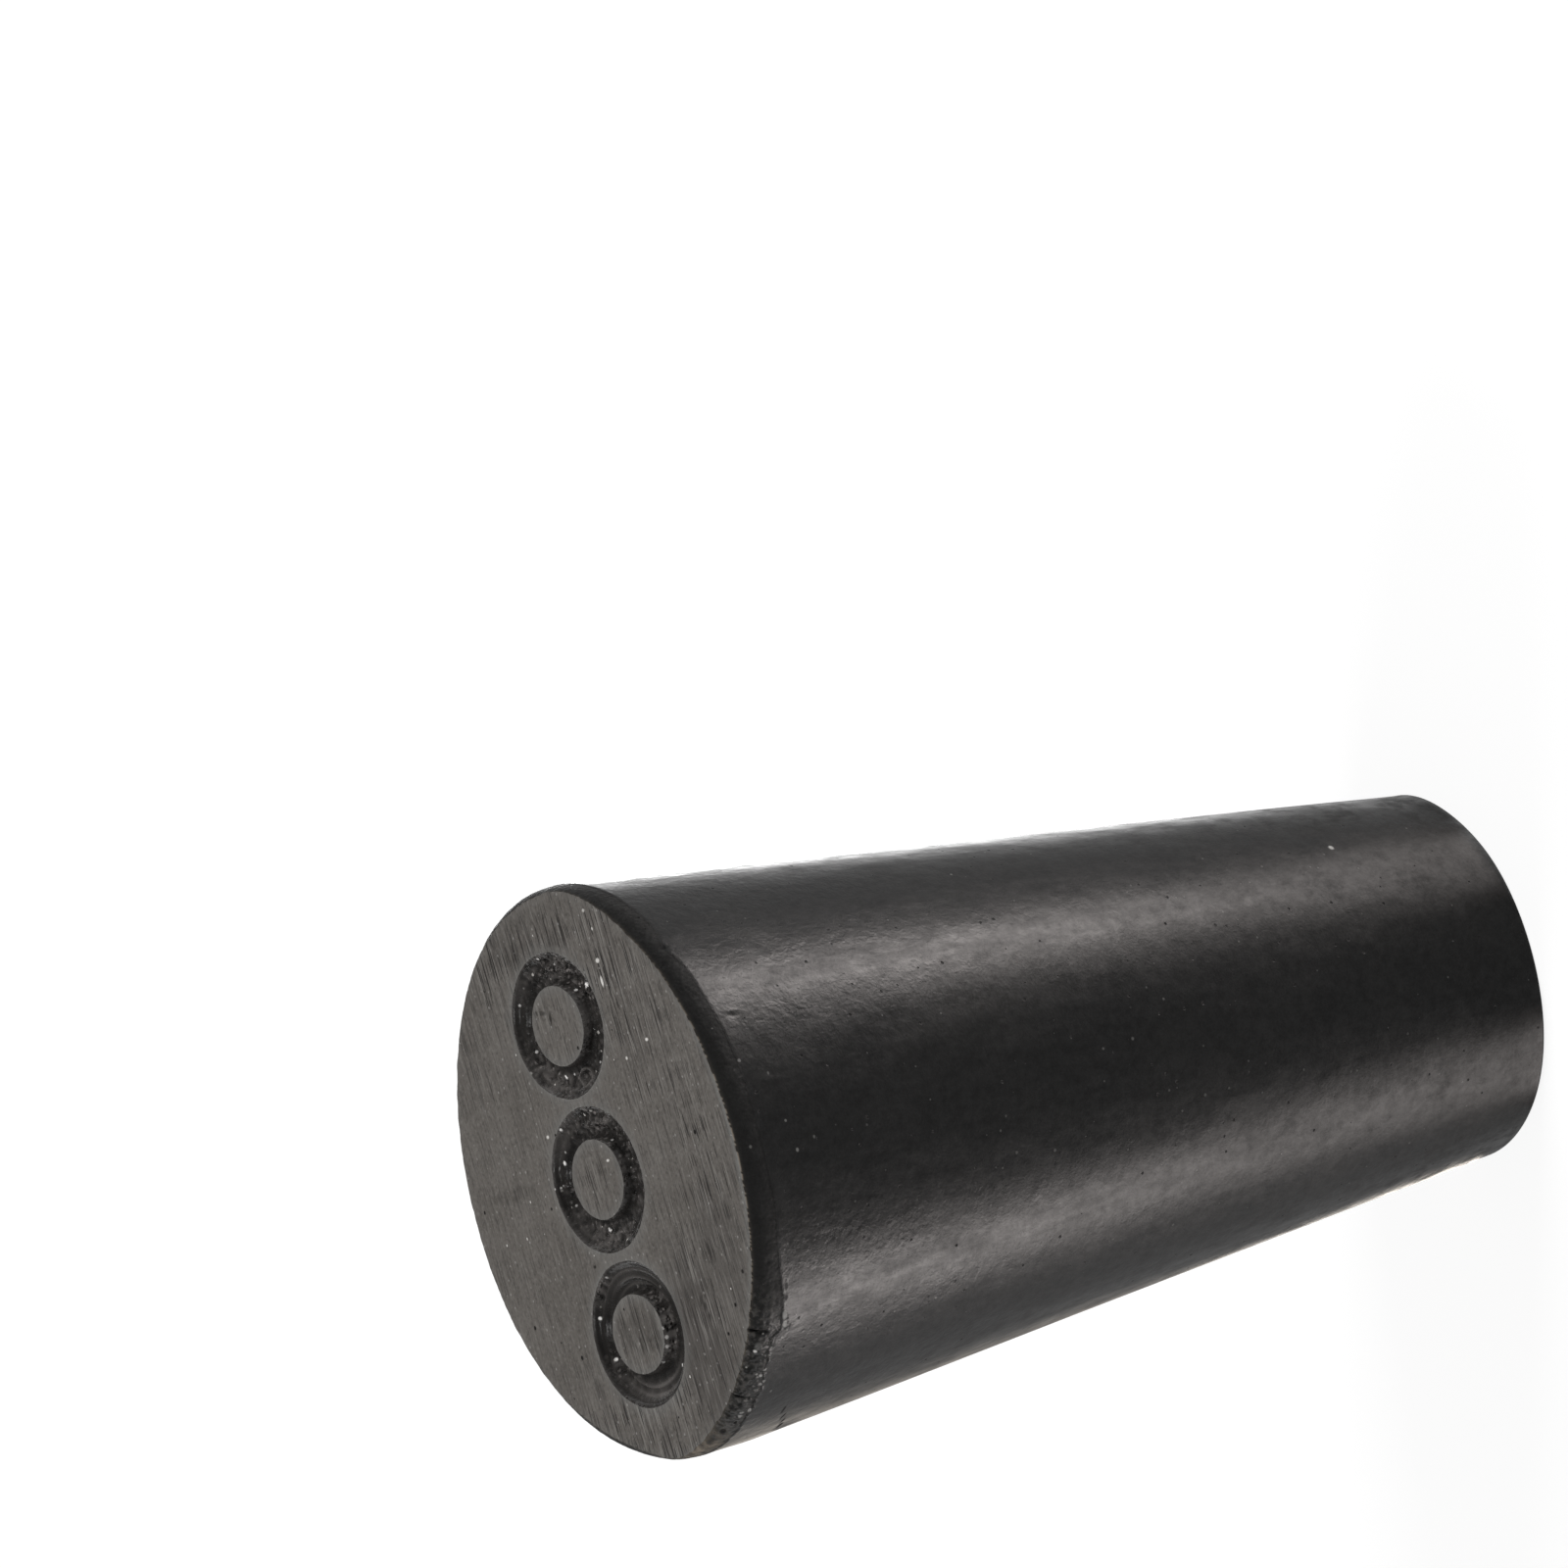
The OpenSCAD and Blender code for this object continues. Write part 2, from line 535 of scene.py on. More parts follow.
def fill(outline, holes, loose, height, finish, facing_up, grit):
    """Fills the outline but not its holes. height and grit depend on x and y."""
    loops = [outline] + holes
    edge = KDTree(sum(len(loop) for loop in loops))
    flat, outlines = [], []
    for loop in loops:
        outlines.append(list(range(len(flat), len(flat) + len(loop))))
        flat += [Vector(p) for p in loop]
    for i, p in enumerate(flat):
        edge.insert((p.x, p.y, 0), i)
    edge.balance()
    flat += [Vector(p) for p in loose if edge.find((p[0], p[1], 0))[2] > KEEP_OFF]
    made, _, triangles, _, _, sources = delaunay_2d_cdt(flat, [], outlines, 1, 1e-6, True)
    numbers = {}
    for triangle, source in zip(triangles, sources):
        if list(source) != [0]:
            continue
        for i in triangle:
            if i not in numbers:
                x, y = made[i]
                near = edge.find((x, y, 0))[2]
                wear_and_light = hump(near, 0, RUBBED_REACH) * rim_wear(x, y)
                numbers[i] = lay(x, y, height(x, y), grit(x, y), wear_and_light)
        face = [numbers[i] for i in triangle]
        faces.append(tuple(face if facing_up else reversed(face)))
        finishes.append(finish)


print("outlines can be filled")

# %% Fill the large face, its islands and the small face
inner_rings = offset_ring(rim, (0, 0), -0.08) + offset_ring(rim, (0, 0), -0.2)
for centre_x, outline in zip(ZERO_X, outer_ovals):
    inner_rings += offset_ring(outline, (centre_x, ZERO_Y), 0.07)
grid = [p for p in loose_points(face_radius, 0.28) if math.hypot(*p) < face_radius - 0.25]
fill(rim, outer_ovals, inner_rings + grid, face_height, GROUND, True, scratched)

for centre_x, outline in zip(ZERO_X, island_ovals):
    around = offset_ring(outline, (centre_x, ZERO_Y), -0.07)
    inside = [(x + centre_x, y + ZERO_Y) for x, y in loose_points(0.9, 0.2)
              if (x / 0.75) ** 2 + (y / 1.02) ** 2 < 1]
    fill(outline, [], around + inside, face_height, GROUND, True, scratched)

foot_grid = [p for p in loose_points(foot_radius, 0.35) if math.hypot(*p) < foot_radius - 0.3]
fill(foot_rim, [], offset_ring(foot_rim, (0, 0), -0.1) + foot_grid,
     lambda x, y: 0.0, FOOT, False, lambda x, y: 0.0)
print("all:", len(faces), "faces")

# %% [markdown]
# ## One closed skin
# The side, the grooves and the flat faces were laid down apart, so their shared
# edges hold two corners at each place. The real stopper is one piece, so these
# are welded. Smoothing by angle would crease the granules too, so only edges
# between two finishes are marked sharp. Edges without exactly two faces are
# counted, because each would be a hole or a flap.

# %% Weld the parts
WELD_REACH = 0.0004   # corners closer than this become one, in mm
skin = bpy.data.meshes.new("stopper_rubber")
skin.from_pydata([Vector(c[:3]) * MM for c in corners], [], faces)
for number, name in ((3, "grit"), (4, "wear_and_light")):
    values = skin.attributes.new(name, "FLOAT", "POINT")
    values.data.foreach_set("value", [c[number] for c in corners])
skin.polygons.foreach_set("material_index", finishes)

weld = bmesh.new()
weld.from_mesh(skin)
bmesh.ops.remove_doubles(weld, verts=weld.verts, dist=WELD_REACH * MM)
for face in weld.faces:
    face.smooth = True
for edge in weld.edges:
    kinds = {face.material_index for face in edge.link_faces}
    edge.smooth = len(kinds) == 1
open_edges = sum(len(edge.link_faces) != 2 for edge in weld.edges)
volume = weld.calc_volume() / MM**3
weld.to_mesh(skin)
weld.free()
skin.update()



def placed(name, data):
    """A new object with this mesh, camera or lamp, put in the scene."""
    made = bpy.data.objects.new(name, data)
    bpy.context.scene.collection.objects.link(made)
    return made


stopper = placed("stopper_rubber", skin)
triangles = sum(len(p.vertices) - 2 for p in skin.polygons)
print(f"{triangles} triangles, {open_edges} open edges, {volume:.0f} cubic mm")

# %% [markdown]
# ## Wiring a material
# Every finish below is made of nodes alone, with no pictures. A short helper
# adds a node and plugs its sockets in one call, so a material reads like a
# recipe. Each begins with the place on the object, in millimetres.

# %% Nodes for numbers and colours
def node(kind, feeds=None, tree=None, **settings):
    """Adds a node. feeds gives a socket its value or the output it takes. The
    node joins the tree that its feeds come from, unless one is named."""
    feeds = feeds or {}
    outputs = [feed for feed in feeds.values() if isinstance(feed, bpy.types.NodeSocket)]
    tree = tree or outputs[0].id_data
    made = tree.nodes.new("ShaderNode" + kind)
    for name, value in settings.items():
        setattr(made, name, value)
    for socket, feed in feeds.items():
        if isinstance(feed, bpy.types.NodeSocket):
            tree.links.new(feed, made.inputs[socket])
        else:
            made.inputs[socket].default_value = feed
    return made


def calc(operation, first, second, clamp=False):
    """One step of arithmetic."""
    return node("Math", {0: first, 1: second}, operation=operation,
                use_clamp=clamp).outputs[0]


def times(first, second):
    return calc("MULTIPLY", first, second)


def total(*parts):
    """The sum of the parts, kept between 0 and 1 at the last step."""
    found = parts[0]
    for part in parts[1:]:
        found = calc("ADD", found, part, clamp=part is parts[-1])
    return found


def between(value, start, end, low=0.0, high=1.0):
    """Turns start..end into low..high, with soft ends."""
    return node("MapRange", {"Value": value, "From Min": start, "From Max": end,
                             "To Min": low, "To Max": high},
                interpolation_type="SMOOTHSTEP").outputs["Result"]


def rgb(red, green, blue):
    return (red, green, blue, 1.0)


def blend(share, first, second):
    """Mixes two colours."""
    mix = node("Mix", {0: share, 6: first, 7: second}, data_type="RGBA")
    return mix.outputs[2]


def varied(pattern, dark, light, start=0.3, end=0.7):
    """A colour that goes from dark to light with the pattern."""
    return blend(between(pattern, start, end), rgb(*dark), rgb(*light))


def painted(colour, *coats):
    """Lays coats over a colour. Each coat: where it covers, red, green, blue."""
    for share, *tone in coats:
        colour = blend(share, colour, rgb(*tone))
    return colour


print("numbers and colours can be wired")

# %% Start a material and finish it
def start_material(name):
    """A new material and its node tree."""
    material = bpy.data.materials.new(name)
    material.use_nodes = True
    return material, material.node_tree


def place_in(tree):
    """The place on the object, in millimetres."""
    here = node("TexCoord", tree=tree).outputs["Object"]
    return node("VectorMath", {0: here, "Scale": 1 / MM}, operation="SCALE").outputs["Vector"]


def value_of(tree, name):
    """A number that the corners of the mesh carry."""
    return node("Attribute", tree=tree, attribute_name=name).outputs["Fac"]


def embossed(*layers):
    """Bumps laid on each other. Each: its pattern and its full height in mm."""
    relief = None
    for pattern, height in layers:
        feeds = {"Height": pattern, "Distance": height * MM, "Strength": 1.0}
        if relief is not None:
            feeds["Normal"] = relief
        relief = node("Bump", feeds).outputs["Normal"]
    return relief


def finish_material(material, colour, roughness, relief):
    """Plugs the finished recipe into the material's shader."""
    tree = material.node_tree
    shader = tree.nodes["Principled BSDF"]
    for name, output in (("Base Color", colour), ("Roughness", roughness), ("Normal", relief)):
        tree.links.new(output, shader.inputs[name])
    print(f"{material.name}: {len(tree.nodes)} nodes")


print("materials can start")

# %% [markdown]
# ## Patterns
# Two kinds of pattern are enough for rubber. Noise gives grain, and lines when
# it is stretched. Cells with a dot in some of them give dust, pits and short
# scratches. A picture wrapped round the part could hold them too, but patterns
# have no seam and stay sharp close up.

# %% Grain and specks
def stretched(place, turn, per_mm, shift=0.0):
    """The place turned about Z by some degrees, then scaled along each axis."""
    return node("Mapping", {"Vector": place, "Rotation": (0, 0, math.radians(turn)),
                            "Location": (shift, shift, 0),
                            "Scale": [1 / value for value in per_mm]},
                vector_type="TEXTURE").outputs["Vector"]


def grain(place, per_mm, detail=2.0, rough=0.5):
    """Noise with about this many bumps to the millimetre."""
    return node("TexNoise", {"Vector": place, "Scale": per_mm, "Detail": detail,
                             "Roughness": rough}).outputs["Fac"]


def specks(place, per_mm, radius, share, dimensions="3D"):
    """1 inside small dots of many sizes. Only this share of the cells has one."""
    cells = node("TexVoronoi", {"Vector": place, "Scale": per_mm},
                 voronoi_dimensions=dimensions)
    parts = node("SeparateColor", {"Color": cells.outputs["Color"]})
    reach = between(parts.outputs[1], 0, 1, 0.35 * radius * per_mm, radius * per_mm)
    dot = between(calc("DIVIDE", cells.outputs["Distance"], reach), 1.0, 0.6)
    return times(dot, calc("LESS_THAN", parts.outputs[0], share))


print("two kinds of pattern")

# %% [markdown]
# ## Marks with a place of their own
# Most marks may fall anywhere, so a pattern scatters them. A few catch the eye,
# such as a bright crumb with a painted glint, and a slit in the rim with painted
# shade inside it. Each of these is a soft oval round one point of the skin.

# %% Marks at given places
def blots(place, marks):
    """1 inside soft ovals. Each: centre, reach, turn in degrees, amount."""
    found = None
    for centre, reach, turn, amount in marks:
        near = node("Mapping", {"Vector": place, "Location": centre, "Scale": reach,
                                "Rotation": (0, 0, math.radians(turn))},
                    vector_type="TEXTURE")
        away = node("VectorMath", {0: near.outputs["Vector"]}, operation="LENGTH")
        one = times(between(away.outputs["Value"], 1.0, 0.4), amount)
        found = one if found is None else calc("MAXIMUM", found, one)
    return found


def on_face(marks):
    """Marks given as x, y, long, wide, turn, amount on the large face. They
    reach far along Z, so the level of the face hardly matters."""
    return [((x, y, plug_length), (long, wide, 2), turn, amount)
            for x, y, long, wide, turn, amount in marks]


def on_side(marks):
    """Marks given as angle in degrees, height, reach round and along, amount."""
    return [(side_corner(math.radians(degrees), height)[:3], (around, around, along),
             degrees, amount)
            for degrees, height, around, along, amount in marks]


print("marks can be placed on", len(corners), "corners")

# %% [markdown]
# ## Moulded skin
# The side is black, with an uneven satin gloss, a faint orange peel, very fine
# turning marks that the mould left round it, and some dust. Above the mould line
# the skin is dull and granular, with a few bright chips. Two materials could
# meet there. They are one here, mixed by the `grit` of the corners, so that the
# border follows the ragged edge in the mesh.

# %% Marks with a place of their own on the side
# Each one: angle in degrees, height, reach round and along in mm, amount
# Crumbs on the torn line, painted bright: partly white crumbs and partly painted glints
CRUMBS_AND_GLINTS = [
    (-128.2, 20.56, 0.14, 0.08, 0.7), (-130.3, 20.53, 0.13, 0.08, 0.8),
    (-131.8, 20.44, 0.08, 0.05, 0.3), (-125.7, 20.56, 0.08, 0.05, 0.4),
    (-123.2, 20.60, 0.06, 0.05, 0.4), (-120.8, 20.52, 0.08, 0.05, 0.3),
    (-133.6, 20.54, 0.06, 0.05, 0.3), (-135.8, 21.15, 0.06, 0.06, 0.7),
    (-134.4, 21.12, 0.15, 0.10, 0.1), (-135.2, 20.80, 0.06, 0.05, 0.3),
    (-136.8, 20.80, 0.07, 0.07, 0.4), (-138.6, 20.78, 0.06, 0.05, 0.25),
    (-140.7, 20.84, 0.06, 0.06, 0.8), (-142.3, 20.90, 0.06, 0.05, 0.6),
    (-144.0, 20.77, 0.07, 0.05, 0.5), (-144.9, 20.83, 0.05, 0.05, 0.8),
    (-148.3, 20.45, 0.05, 0.04, 0.3), (-153.0, 20.83, 0.08, 0.06, 0.7),
    (-153.4, 21.00, 0.05, 0.08, 0.4), (-154.8, 20.98, 0.10, 0.05, 0.4),
]
DUST = [
    (-76.2, 20.71, 0.05, 0.05, 0.3), (-79.8, 20.12, 0.05, 0.04, 0.2),
    (-95.7, 19.94, 0.06, 0.05, 0.4), (-94.0, 19.45, 0.05, 0.04, 0.25),
    (-93.0, 21.05, 0.05, 0.04, 0.15), (-45.4, 3.67, 0.09, 0.08, 1.0),
    (-89.6, 10.83, 0.05, 0.05, 0.2), (-90.3, 11.64, 0.04, 0.04, 0.2),
    (-82.0, 9.75, 0.04, 0.04, 0.2), (-107.1, 9.22, 0.05, 0.05, 0.15),
    (-110.0, 13.33, 0.05, 0.05, 0.15), (-108.1, 14.34, 0.05, 0.05, 0.15),
]
# Slits, nicks and a burr line, painted darker than the black rubber: painted shade inside them
SLIT_SHADES = [
    (-131.4, 21.13, 0.09, 0.22, 1.0), (-148.9, 21.10, 0.09, 0.21, 1.0),
    (-158.5, 19.71, 0.22, 0.05, 0.5), (-162.5, 19.53, 0.22, 0.05, 0.6),
    (-166.0, 19.39, 0.22, 0.05, 0.6), (-169.5, 19.26, 0.22, 0.05, 0.7),
    (-157.5, 20.98, 0.08, 0.06, 0.7), (-122.0, 20.56, 0.12, 0.06, 0.25),
    (-124.4, 20.55, 0.10, 0.07, 0.3), (-129.2, 20.54, 0.06, 0.03, 0.6),
    (-161.0, 21.12, 0.14, 0.08, 0.7), (-155.9, 20.84, 0.10, 0.05, 0.7),
]
print(len(CRUMBS_AND_GLINTS + DUST + SLIT_SHADES), "marks on the side")

# %% Patterns on the side
moulded, tree = start_material("moulded_rubber")
place = place_in(tree)
grit, wear_and_light = value_of(tree, "grit"), value_of(tree, "wear_and_light")
upright = node("SeparateXYZ", {0: place}).outputs["Z"]
low = between(upright, 10.0, 1.0, 0.25, 1.0)     # strongest at the small end
high = between(upright, 11.0, 20.0, 0.3, 1.0)    # strongest at the large end

patches = grain(place, 0.45, 3.0, 0.55)
waves = grain(place, 1.1, 2.0, 0.5)
dimples = grain(place, 2.6, 3.0, 0.6)
sheen = grain(place, 4.0, 5.0, 0.85)
peel = grain(place, 7.0, 2.0, 0.6)
finest = grain(place, 16.0, 1.0)
mottle = grain(stretched(place, 0, (2.4, 2.4, 0.6)), 1.0, 5.0, 0.7)
turning_marks = grain(stretched(place, 0, (0.25, 0.25, 7.0)), 1.0, 2.0)
blotches = between(grain(place, 1.7, 5.0, 0.68), 0.46, 0.66)
scuffs = between(grain(stretched(place, 20, (1.5, 1.5, 0.5)), 1.1, 5.0, 0.7), 0.58, 0.78)
granules = node("TexVoronoi", {"Vector": place, "Scale": 11.0}, feature="SMOOTH_F1")

torn = between(grit, 0.55, 0.95)
chips = between(grain(place, 7.0, 3.0, 0.7), 0.45, 0.65)
shards = specks(place, 5.0, 0.05, 0.30)
lint = specks(place, 4.0, 0.036, 0.24)
pores = specks(place, 3.2, 0.045, 0.55)
slit_shade = blots(place, on_side(SLIT_SHADES))
dust_and_glints = calc("MAXIMUM", times(specks(place, 1.6, 0.045, 0.12), 0.3),
            blots(place, on_side(CRUMBS_AND_GLINTS + DUST)))
print("patterns on the side:", len(tree.nodes), "nodes")

# %% Colour of the side
skin_black = varied(patches, (0.0075, 0.0072, 0.0073), (0.0105, 0.0101, 0.0097))
torn_black = blend(peel, rgb(0.006, 0.006, 0.0057), rgb(0.015, 0.0145, 0.0135))
colour = painted(
    blend(grit, skin_black, torn_black),
    (times(torn, chips), 0.060, 0.056, 0.052),
    (times(torn, shards), 0.36, 0.35, 0.33),
    (times(scuffs, 0.16), 0.05, 0.049, 0.047),
    # Rubbed places; on the rim, partly the painted reflection of the warm table
    (times(wear_and_light, 0.85), 0.26, 0.22, 0.175),
    # Painted shade in the slits, nicks and burr line
    (slit_shade, 0.002, 0.002, 0.002),
    (times(lint, 0.7), 0.17, 0.167, 0.16),
    # Dust, and the crumbs on the torn line with their painted glints
    (dust_and_glints, 0.80, 0.78, 0.75),
)
print("with its colours:", len(tree.nodes), "nodes")

# %% Gloss and relief of the side
roughness = total(
    between(mottle, 0.3, 0.7, 0.27, 0.40),
    times(peel, 0.05),
    between(grit, 0.0, 0.45, 0.0, 0.36),     # torn skin is dull
    between(grit, 0.75, 1.0, 0.0, -0.30),    # but its freshest grains sparkle
    calc("MAXIMUM", times(low, times(blotches, 0.18)), slit_shade),
    times(pores, 0.4),
    times(dust_and_glints, 0.3),
)
relief = embossed(
    (waves, 0.022),
    (times(dimples, high), 0.010),
    (times(peel, high), 0.010),
    (finest, 0.003),
    (times(turning_marks, low), 0.004),
    (pores, -0.010),
    (times(grit, granules.outputs["Distance"]), 0.035),
)
gloss = tree.nodes["Principled BSDF"].inputs["Specular IOR Level"]
gloss.default_value = 0.48     # kept where a pattern can't be used
tree.links.new(between(sheen, 0.3, 0.7, 0.37, 0.59), gloss)
finish_material(moulded, colour, roughness, relief)

# %% [markdown]
# ## Ground face
# Grinding on a belt leaves the rubber dull, grey and covered with straight
# parallel scratches. Noise that is stretched a long way in one direction gives
# such lines, and short cuts are dots stretched the same way. A fine tooth lies
# under them, because ground rubber is torn rather than cut. Smudges, a little
# white dust and a few dark pits lie on top, and the rubbed edges are paler.

# %% Marks with a place of their own on the ground face
# Each one: x, y, reach along and across in mm, turn in degrees, amount
SMUDGES = [
    (-3.36, -3.03, 0.32, 0.13, 20, 0.9), (-3.10, -2.90, 0.22, 0.10, -35, 0.7),
    (0.26, 4.10, 0.22, 1.30, 0, 0.45), (-4.30, 2.60, 0.40, 0.30, 0, 0.4),
    (3.78, 0.90, 0.08, 0.45, -8, 0.8), (3.58, 0.47, 0.24, 0.08, -20, 1.0),
    (5.40, 0.60, 0.90, 2.60, 0, 0.25), (-3.40, 0.20, 0.90, 1.10, 0, 0.42),
]
SHADES = [(-3.9, -2.5, 2.6, 1.6, 0, 0.75), (-2.4, -4.3, 2.2, 1.2, 0, 0.45)]
PITS = [(-0.28, 2.59, 0.05, 0.06, 0, 1.0), (-1.75, 1.35, 0.05, 0.08, 0, 0.9)]
LINT = [
    (3.99, -2.21, 0.16, 0.07, 4, 1.0), (4.44, -2.25, 0.07, 0.11, 0, 0.9),
    (2.51, -3.48, 0.05, 0.09, 0, 0.9), (2.27, -2.41, 0.05, 0.06, 0, 0.8),
    (5.12, -2.37, 0.05, 0.05, 0, 0.7), (5.55, -2.20, 0.05, 0.08, 0, 0.6),
    (0.33, -0.43, 0.04, 0.09, 0, 0.8), (1.21, 1.93, 0.05, 0.08, 0, 0.8),
]
print(len(SMUDGES + SHADES + PITS + LINT), "marks on the ground face")

# %% Patterns on the ground face
ground, tree = start_material("ground_rubber")
place = place_in(tree)
wear_and_light, scratching = value_of(tree, "wear_and_light"), value_of(tree, "grit")
BELT_ANGLE = 3   # degrees between the scratches and the row of zeros


def along_belt(place, along, across, shift=0.0):
    """The place, drawn out along the scratches."""
    return stretched(place, BELT_ANGLE, (along, across, 1), shift)


fine_lines = grain(along_belt(place, 0.8, 16.0), 1.0, 3.0, 0.65)
wide_lines = grain(along_belt(place, 0.42, 9.0), 1.0, 3.0, 0.65)
cuts = specks(along_belt(place, 0.8, 13.0), 1.0, 0.46, 0.30, "2D")
nips = specks(along_belt(place, 1.6, 18.0, 3), 1.0, 0.45, 0.30, "2D")
gleams = specks(along_belt(place, 0.8, 15.0, 7), 1.0, 0.45, 0.30, "2D")
contrast = between(scratching, 0, 1, 0.22, 0.95)
cloud = grain(place, 0.6, 5.0, 0.65)
tooth = grain(place, 11.0, 2.0)
white = specks(stretched(place, 0, (1, 1.5, 1)), 1.3, 0.045, 0.06, "2D")
flecks = specks(place, 3.3, 0.038, 0.34, "2D")
pits = specks(stretched(place, 40, (1, 1, 1)), 1.1, 0.06, 0.14, "2D")
ragged = between(grain(along_belt(place, 3, 12), 1.0), 0.35, 0.55)
print("patterns on the face:", len(tree.nodes), "nodes")

# %% Colour, dullness and relief of the ground face
colour = painted(
    varied(cloud, (0.100, 0.091, 0.082), (0.121, 0.111, 0.101)),
    (between(tooth, 0.46, 0.30, 0.0, 0.65), 0.062, 0.057, 0.052),
    (between(tooth, 0.54, 0.70, 0.0, 0.50), 0.170, 0.160, 0.148),
    (blots(place, on_face(SHADES)), 0.060, 0.054, 0.050),
    (times(contrast, between(wide_lines, 0.50, 0.36)), 0.066, 0.060, 0.055),
    (times(contrast, between(fine_lines, 0.52, 0.75)), 0.19, 0.18, 0.166),
    (times(contrast, gleams), 0.18, 0.17, 0.158),
    (times(contrast, calc("MAXIMUM", cuts, nips)), 0.024, 0.022, 0.020),
    (times(wear_and_light, 0.6), 0.180, 0.184, 0.180),
    (times(blots(place, on_face(SMUDGES)), ragged), 0.030, 0.027, 0.024),
    (calc("MAXIMUM", pits, blots(place, on_face(PITS))), 0.012, 0.011, 0.010),
    (times(flecks, 0.6), 0.28, 0.27, 0.26),
    (calc("MAXIMUM", white, blots(place, on_face(LINT))), 0.66, 0.64, 0.61),
)
roughness = between(fine_lines, 0.2, 0.8, 0.82, 0.62)
relief = embossed(
    (times(contrast, fine_lines), 0.03),
    (times(contrast, cuts), -0.02),
    (tooth, 0.010),
    (calc("SUBTRACT", white, pits), 0.03),
)
finish_material(ground, colour, roughness, relief)

# %% [markdown]
# ## Pressed grooves
# The bottoms of the zeros never met the grinding belt. They are as black as the
# side and shinier in places, and their mould grain throws small sparks of
# light. The coarse grain is in the mesh. This material adds the finest part,
# the beads of it, whose tops are painted pale as if lit, crumbs brightened as
# painted glints, and painted glints at places of their own.

# %% Glints and crumbs with a place of their own in the grooves
# Each one: zero, direction in degrees, share of the way in, radius in mm, amount
# Bright spots, partly crumbs and partly painted glints
GLINTS_AND_CRUMBS = [
    (0, 63, 0.17, 0.045, 0.5), (0, -61, 0.37, 0.085, 1.0), (0, -48, 0.94, 0.055, 0.8),
    (0, 154, 0.54, 0.065, 1.0), (0, 169, 0.68, 0.04, 0.6), (0, 6, 0.12, 0.05, 0.7),
    (0, 106, 0.35, 0.05, 0.5), (0, -30, 0.48, 0.045, 0.5), (0, -143, 0.46, 0.04, 0.5),
    (0, -12, 0.40, 0.045, 0.5), (1, 35, 0.09, 0.06, 0.8), (1, 65, 0.36, 0.07, 1.0),
    (1, 160, 0.61, 0.065, 1.0), (1, 54, 0.35, 0.04, 0.4), (1, -38, 0.93, 0.045, 0.5),
    (1, 106, 0.33, 0.04, 0.35), (2, 67, 0.16, 0.06, 0.9), (2, 105, 0.36, 0.06, 0.9),
    (2, 27, 0.10, 0.05, 0.5), (2, -92, 1.0, 0.05, 0.5), (2, -105, 0.98, 0.06, 0.6),
    (2, -119, 0.98, 0.06, 0.6), (2, -136, 0.48, 0.065, 0.8), (2, -144, 0.95, 0.05, 0.7),
    (1, 87, 0.0, 0.04, 0.6), (1, 86, 0.10, 0.035, 0.5), (1, 85, 0.18, 0.03, 0.4),
]


def in_groove(marks):
    """Marks given as zero, direction, share, radius, amount in a groove."""
    found = []
    for which, direction, share, radius, amount in marks:
        row = groove_rows[which][round(share * ACROSS)]
        corner = corners[row[round(direction / 360 * AROUND) % AROUND]]
        found.append((corner[:3], (radius, radius, radius), 0, amount))
    return found


print(len(GLINTS_AND_CRUMBS), "glinting_crumbs")

# %% Material of the grooves
pressed, tree = start_material("pressed_rubber")
place = place_in(tree)
wear_and_light, coarse = value_of(tree, "wear_and_light"), value_of(tree, "grit")
clots = grain(place, 2.2, 4.0, 0.6)
film = grain(place, 9.0, 3.0, 0.6)
cells = node("TexVoronoi", {"Vector": place, "Scale": 8.5})
tones = node("SeparateColor", {"Color": cells.outputs["Color"]}).outputs[0]
beads = between(cells.outputs["Distance"], 0.60, 0.10)
lit_bead_tops = times(between(tones, 0.45, 0.95), beads)
# Pale specks in the coarse places: crumbs, painted brighter as glints
glinting_crumbs = specks(place, 5.0, 0.05, 0.30)
glints_and_crumbs = blots(place, in_groove(GLINTS_AND_CRUMBS))

colour = painted(
    varied(clots, (0.0110, 0.0102, 0.0096), (0.0190, 0.0176, 0.0164)),
    (times(coarse, between(film, 0.35, 0.7)), 0.036, 0.032, 0.030),
    # Painted light from here: bead tops painted pale as if lit, the rubbed edges with the
    # painted lit places, crests and lip from the corners, and crumbs and spots painted bright
    # as glints
    (times(coarse, lit_bead_tops), 0.270, 0.246, 0.236),
    (times(wear_and_light, 0.6), 0.150, 0.138, 0.131),
    (times(between(coarse, 0.0, 0.5, 0.15, 1.0), glinting_crumbs), 0.50, 0.48, 0.45),
    (glints_and_crumbs, 0.80, 0.78, 0.76),
)
roughness = between(clots, 0.3, 0.7, 0.18, 0.30)
relief = embossed((times(coarse, beads), 0.08), (film, 0.005), (glints_and_crumbs, 0.02))
finish_material(pressed, colour, roughness, relief)

# %% [markdown]
# ## The small end
# The small end was cut rather than ground. It is a dark warm grey, and faint
# lines cross on it like a weave, the print of the sheet that it was pressed
# against. Two stretched noises at a right angle give the weave.

# %% Material of the small end
foot, tree = start_material("cut_rubber")
place = place_in(tree)
wear_and_light = value_of(tree, "wear_and_light")
WEAVE_ANGLE = 8   # degrees between the warp and the row of zeros
warp, weft = [grain(stretched(place, turn, (0.35, 6.5, 1)), 1.0, 2.0)
              for turn in (WEAVE_ANGLE, WEAVE_ANGLE + 90)]
weave = times(calc("ADD", warp, weft), 0.5)
cloud = grain(place, 0.7, 4.0, 0.6)

